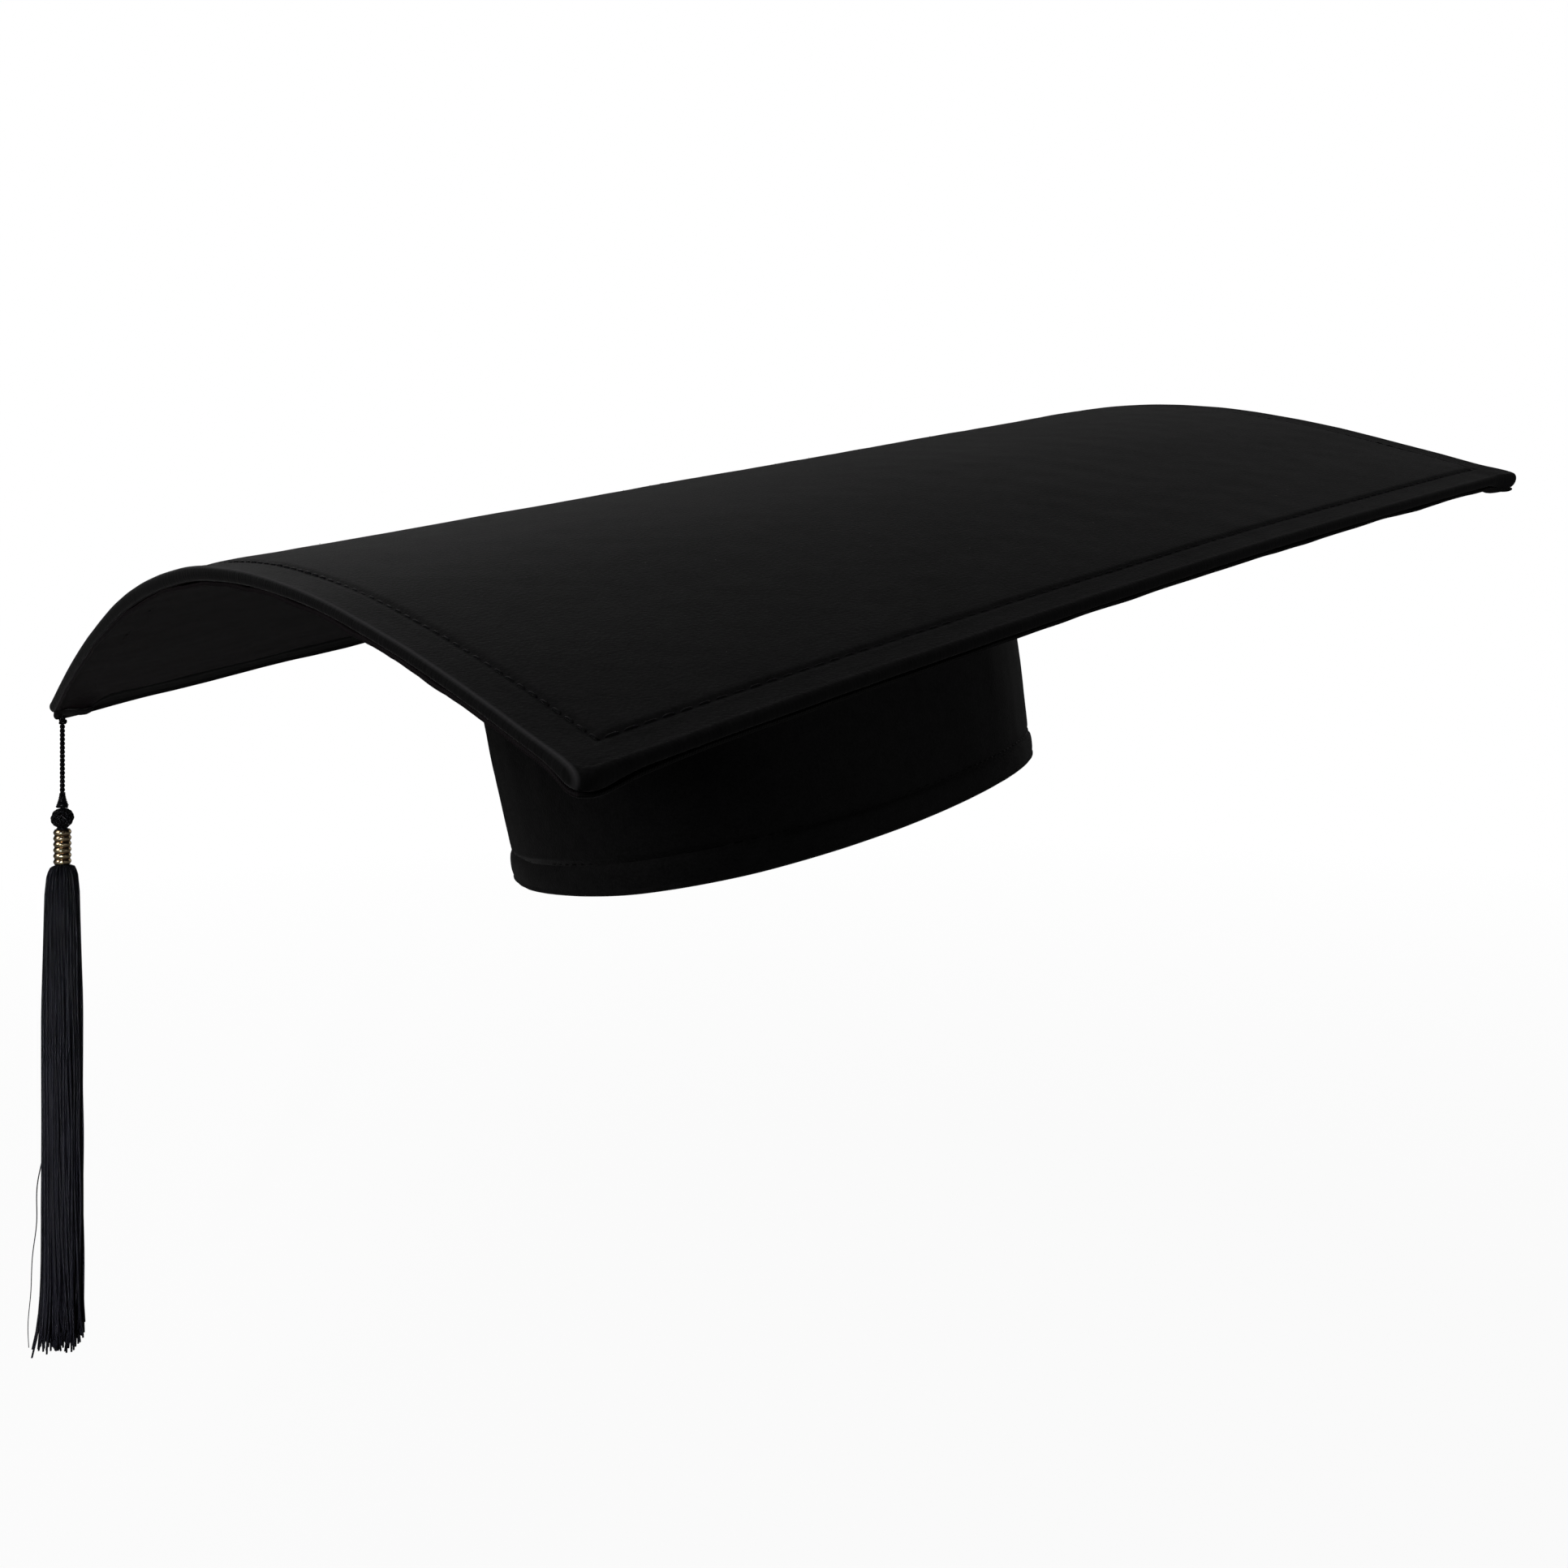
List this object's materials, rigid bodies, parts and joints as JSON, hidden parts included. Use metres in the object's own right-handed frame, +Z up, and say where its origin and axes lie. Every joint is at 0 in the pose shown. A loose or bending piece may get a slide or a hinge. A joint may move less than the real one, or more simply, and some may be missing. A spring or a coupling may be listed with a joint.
{
  "type": "graduation cap",
  "caption": "Square academic cap: an arched cloth-covered board on an elasticated headpiece, with a tassel that swings from one corner.",
  "frame": {"origin": "centre of the head opening, in the plane of the rim", "axes": "+Z straight up, against gravity, as the cap is worn; -Y is the way the wearer faces, where the board's front corner points; the cap leans 9 degrees towards the wearer's right (-X) and 7.3 degrees forwards, and the tassel hangs plumb"},
  "size_m": [0.3316, 0.3277, 0.2217],
  "materials": {
    "black_cloth": "matt woven polyester, slight nap",
    "lining_cloth": "smooth lining, slight sheen",
    "board_card": "uncoated card",
    "buckram": "stiffened open weave",
    "black_thread": "twisted thread",
    "elastic": "ribbed elastic",
    "label_cloth": "plain woven label",
    "tassel_silk": "twisted rayon strands with a sheen",
    "gold_metal": "thin gold-coloured metal, satin"
  },
  "bodies": {
    "cap": {"board_top_cover": "black_cloth", "board_stiffener": "board_card", "board_under_cover": "lining_cloth", "board_topstitch": "black_thread", "crown_panel": "black_cloth", "crown_lining": "lining_cloth", "crown_seam_thread": "black_thread", "headpiece_band": "black_cloth", "headpiece_interlining": "buckram", "headpiece_lining": "lining_cloth", "hem_stitch_thread": "black_thread", "rear_elastic": "elastic", "back_seam_tape": "lining_cloth", "size_label": "label_cloth", "corner_anchor": "black_cloth"},
    "cord_root": {"corner_knot": "tassel_silk"},
    "cord": {"tassel_cord": "tassel_silk"},
    "cord_end": {"cord_whipping": "tassel_silk"},
    "tassel_head": {"tassel_ball": "tassel_silk", "collar_sleeve": "gold_metal", "strand_neck": "tassel_silk"},
    "skirt": {"tassel_skirt": "tassel_silk", "loose_strand_long": "tassel_silk", "loose_strand_short": "tassel_silk"}
  },
  "joints": [
    {"name": "tassel_swing_side", "type": "hinge", "parent": "cap", "child": "cord_root", "pos_m": [-0.15936, -0.02517, 0.02326], "axis": [0, 1, 0], "range_deg": [-18, 60]},
    {"name": "tassel_swing_fore_aft", "type": "hinge", "parent": "cord_root", "child": "cord", "pos_m": [-0.15936, -0.02517, 0.02326], "axis": [1, 0, 0], "range_deg": [-45, 45]},
    {"name": "tassel_twist", "type": "hinge", "parent": "cord", "child": "cord_end", "pos_m": [-0.15936, -0.02517, 0.00151], "axis": [0, 0, 1], "range_deg": [-180, 180]},
    {"name": "tassel_head_tilt", "type": "hinge", "parent": "cord_end", "child": "tassel_head", "pos_m": [-0.15936, -0.02517, 0.00151], "axis": [0, 1, 0], "range_deg": [-20, 20]},
    {"name": "skirt_sway", "type": "hinge", "parent": "tassel_head", "child": "skirt", "pos_m": [-0.15936, -0.02517, -0.00914], "axis": [1, 0, 0], "range_deg": [-12, 12]}
  ]
}
